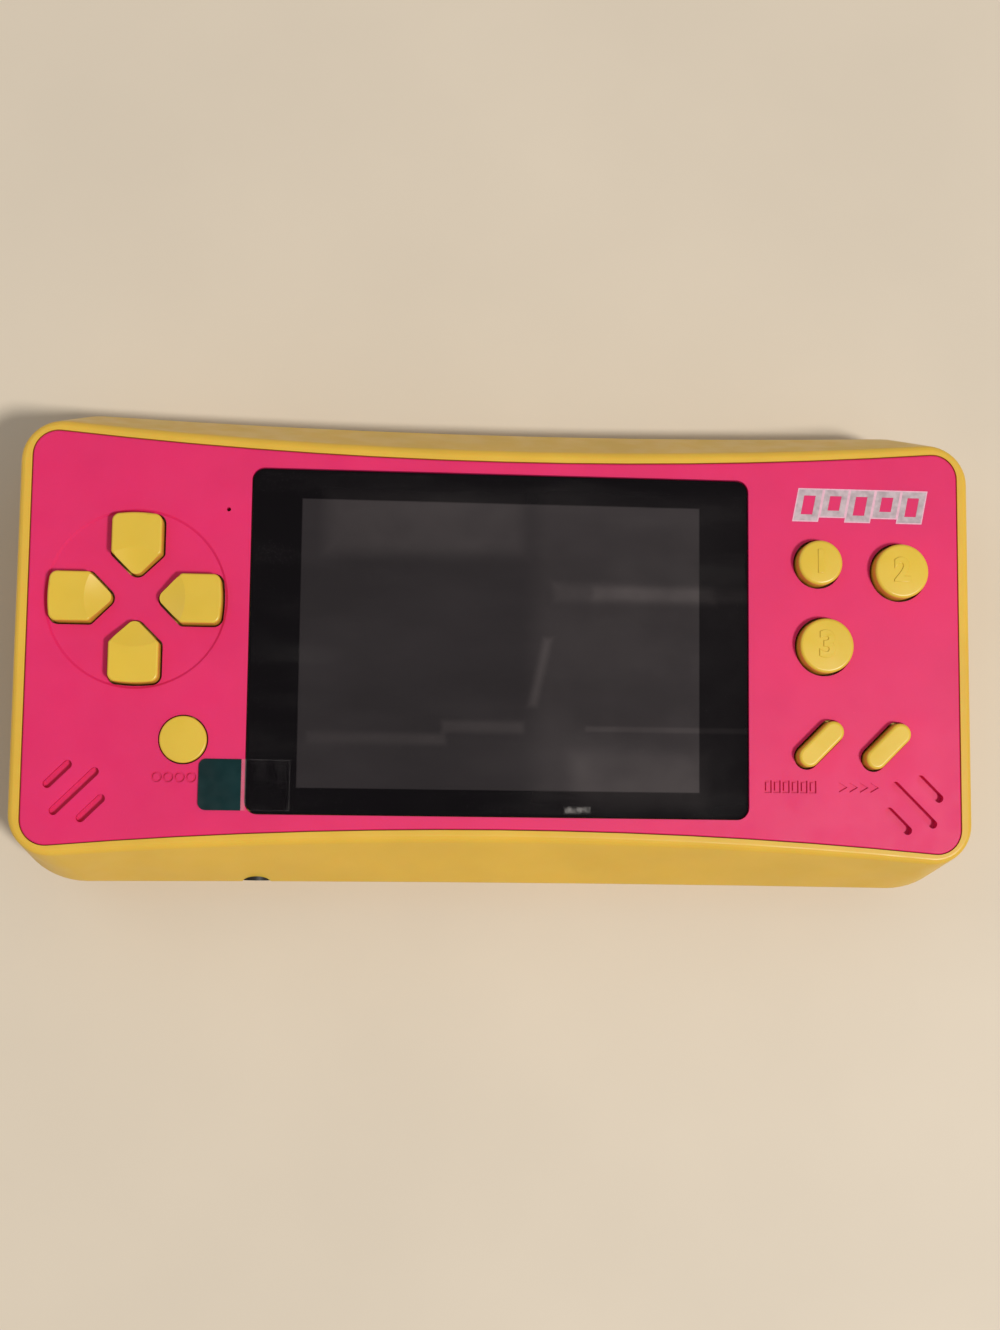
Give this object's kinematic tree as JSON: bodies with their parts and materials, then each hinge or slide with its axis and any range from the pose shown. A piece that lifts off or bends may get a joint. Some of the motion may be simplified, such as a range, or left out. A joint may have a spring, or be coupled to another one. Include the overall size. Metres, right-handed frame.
{
  "type": "handheld game console",
  "caption": "Handheld game console with a central screen, direction keys at the left, round and tilted pill keys at the right, and a flared two-part case.",
  "frame": {"origin": "middle of the flat back, at the height of the surface it lies on", "axes": "+X to the right of the screen, +Y to the screen's top edge, +Z out of the front face"},
  "size_m": [0.15, 0.0734, 0.0252],
  "materials": {
    "amber_ribbon": "polyimide film",
    "black_foam": "fine foam",
    "black_paper": "pressed paper",
    "black_plastic": "satin",
    "black_window": "polished, dark printed back",
    "can_metal": "bare can",
    "cell_sleeve": "plain printed sleeve",
    "chip_black": "moulded epoxy",
    "clear_film": "clear protective film",
    "display_glass": "dark display glass",
    "green_board": "solder mask",
    "green_tab": "glossy dark green film",
    "grey_rubber": "matt silicone",
    "magnet_metal": "nickel plated",
    "pink_plastic": "fine matt texture",
    "plated_metal": "tin plated",
    "red_lens": "diffuse lens",
    "white_plastic": "satin",
    "yellow_key": "satin with soft edges",
    "yellow_plastic": "satin"
  },
  "bodies": {
    "case": {"action_membrane": "grey_rubber", "av_jack": "black_plastic", "av_jack_legs": "plated_metal", "back_shell": "yellow_plastic", "battery_cells": "cell_sleeve", "battery_contacts": "plated_metal", "battery_springs": "plated_metal", "board_screws": "plated_metal", "capacitors": "can_metal", "case_screws": "plated_metal", "crystal": "plated_metal", "dpad_membrane": "grey_rubber", "faceplate": "pink_plastic", "film_pull_tab": "green_tab", "front_shell": "yellow_plastic", "lcd_backlight": "white_plastic", "lcd_connector": "white_plastic", "lcd_foam_pad": "black_foam", "lcd_gasket": "black_foam", "lcd_glass": "display_glass", "lcd_ribbon": "amber_ribbon", "main_board": "green_board", "memory_chip": "chip_black", "menu_membrane": "grey_rubber", "power_led": "red_lens", "power_switch_body": "plated_metal", "processor_chip": "chip_black", "reset_membrane": "grey_rubber", "resistors": "chip_black", "screen_film": "clear_film", "screen_window": "black_window", "speaker_cone": "black_paper", "speaker_frame": "plated_metal", "speaker_magnet": "magnet_metal", "volume_control": "plated_metal"},
    "dpad_up": {"dpad_up": "yellow_key"},
    "dpad_down": {"dpad_down": "yellow_key"},
    "dpad_left": {"dpad_left": "yellow_key"},
    "dpad_right": {"dpad_right": "yellow_key"},
    "turbo_button": {"turbo_button": "yellow_key"},
    "a_button": {"a_button": "yellow_key"},
    "b_button": {"b_button": "yellow_key"},
    "select_button": {"select_button": "yellow_key"},
    "start_button": {"start_button": "yellow_key"},
    "reset_button": {"reset_button": "yellow_key"},
    "power_knob": {"power_switch_knob": "black_plastic"},
    "volume_wheel": {"volume_wheel": "black_plastic"},
    "battery_door": {"battery_door": "yellow_plastic"}
  },
  "joints": [
    {"name": "dpad_up_press", "type": "slide", "parent": "case", "child": "dpad_up", "axis": [0, 0, -1], "range_m": [0, 0.001], "stiffness_N_per_m": 500, "springref_m": -0.0006, "deforming": ["dpad_membrane"]},
    {"name": "dpad_down_press", "type": "slide", "parent": "case", "child": "dpad_down", "axis": [0, 0, -1], "range_m": [0, 0.001], "stiffness_N_per_m": 500, "springref_m": -0.0006, "deforming": ["dpad_membrane"]},
    {"name": "dpad_left_press", "type": "slide", "parent": "case", "child": "dpad_left", "axis": [0, 0, -1], "range_m": [0, 0.001], "stiffness_N_per_m": 500, "springref_m": -0.0006, "deforming": ["dpad_membrane"]},
    {"name": "dpad_right_press", "type": "slide", "parent": "case", "child": "dpad_right", "axis": [0, 0, -1], "range_m": [0, 0.001], "stiffness_N_per_m": 500, "springref_m": -0.0006, "deforming": ["dpad_membrane"]},
    {"name": "turbo_button_press", "type": "slide", "parent": "case", "child": "turbo_button", "axis": [0, 0, -1], "range_m": [0, 0.001], "stiffness_N_per_m": 500, "springref_m": -0.0006, "deforming": ["action_membrane"]},
    {"name": "a_button_press", "type": "slide", "parent": "case", "child": "a_button", "axis": [0, 0, -1], "range_m": [0, 0.001], "stiffness_N_per_m": 500, "springref_m": -0.0006, "deforming": ["action_membrane"]},
    {"name": "b_button_press", "type": "slide", "parent": "case", "child": "b_button", "axis": [0, 0, -1], "range_m": [0, 0.001], "stiffness_N_per_m": 500, "springref_m": -0.0006, "deforming": ["action_membrane"]},
    {"name": "select_button_press", "type": "slide", "parent": "case", "child": "select_button", "axis": [0, 0, -1], "range_m": [0, 0.001], "stiffness_N_per_m": 500, "springref_m": -0.0006, "deforming": ["menu_membrane"]},
    {"name": "start_button_press", "type": "slide", "parent": "case", "child": "start_button", "axis": [0, 0, -1], "range_m": [0, 0.001], "stiffness_N_per_m": 500, "springref_m": -0.0006, "deforming": ["menu_membrane"]},
    {"name": "reset_button_press", "type": "slide", "parent": "case", "child": "reset_button", "axis": [0, 0, -1], "range_m": [0, 0.0006], "stiffness_N_per_m": 500, "springref_m": -0.0006, "deforming": ["reset_membrane"]},
    {"name": "power_switch_slide", "type": "slide", "parent": "case", "child": "power_knob", "axis": [1, 0, 0], "range_m": [0, 0.003]},
    {"name": "volume_wheel_turn", "type": "hinge", "parent": "case", "child": "volume_wheel", "pos_m": [0.0179, 0.02764, 0.0091], "axis": [0, 0, 1], "range_deg": [-140, 140]},
    {"name": "battery_door_hinge", "type": "hinge", "parent": "case", "child": "battery_door", "pos_m": [-0.02555, 0, 0], "axis": [0, 1, 0], "range_deg": [0, 100]}
  ]
}
